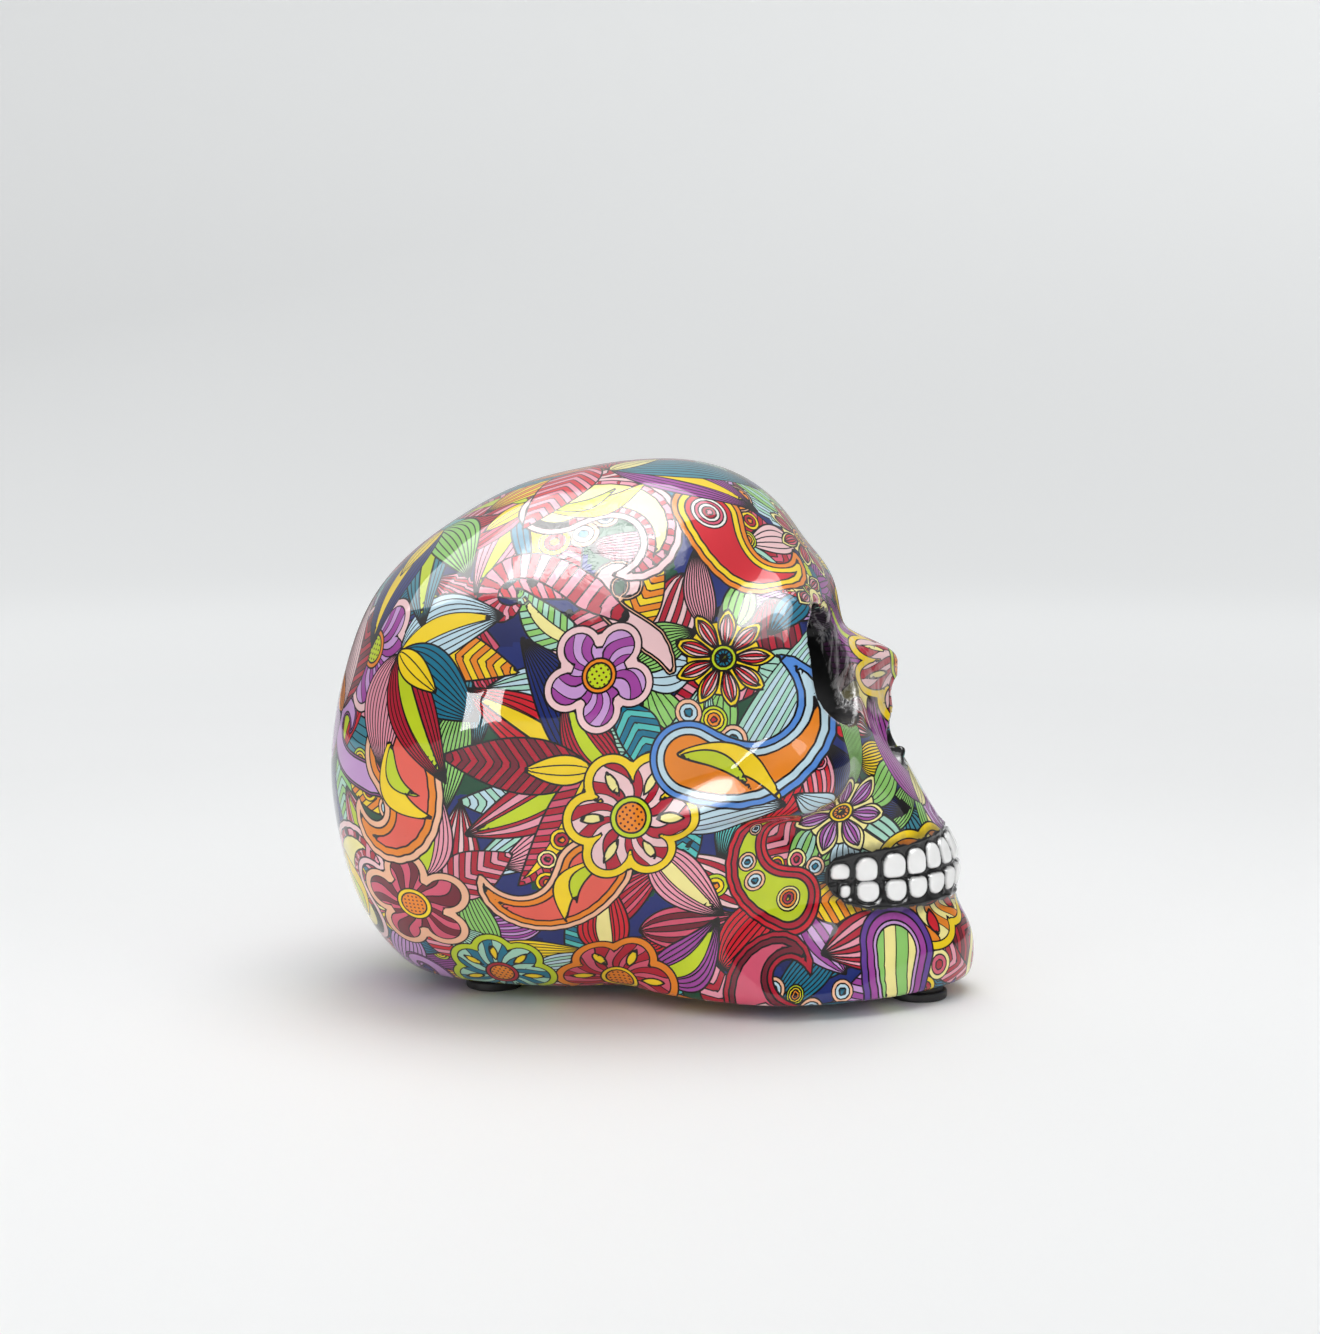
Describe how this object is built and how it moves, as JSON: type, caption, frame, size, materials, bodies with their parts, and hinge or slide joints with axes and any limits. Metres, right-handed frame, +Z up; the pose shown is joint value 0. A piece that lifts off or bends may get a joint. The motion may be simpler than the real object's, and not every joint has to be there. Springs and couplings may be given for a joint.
{
  "type": "skull ornament",
  "caption": "Life-size hollow cast-resin skull ornament with a glossy all-over print, fused jaw, closed base and stick-on rubber feet.",
  "frame": {"origin": "centre of the bounding box's underside, on the plane that the rubber feet stand on", "axes": "+Z up, +X out of the face, +Y towards the skull's own left side"},
  "size_m": [0.1934, 0.1326, 0.158],
  "materials": {
    "printed_resin": "all-over multicolour film print under a high-gloss clear lacquer; sockets, nasal opening and gums in gloss black, teeth in white",
    "base_disc": "black, fine matt grain",
    "foot_rubber": "black, satin, lightly scuffed sole",
    "foot_adhesive": "dark grey foam adhesive"
  },
  "bodies": {
    "root": {"skull_casting": "printed_resin", "base_closing_disc": "base_disc", "foot_rear_left": "foot_rubber", "foot_rear_left_adhesive": "foot_adhesive", "foot_rear_right": "foot_rubber", "foot_rear_right_adhesive": "foot_adhesive", "foot_front_left": "foot_rubber", "foot_front_left_adhesive": "foot_adhesive", "foot_front_right": "foot_rubber", "foot_front_right_adhesive": "foot_adhesive"}
  },
  "joints": []
}
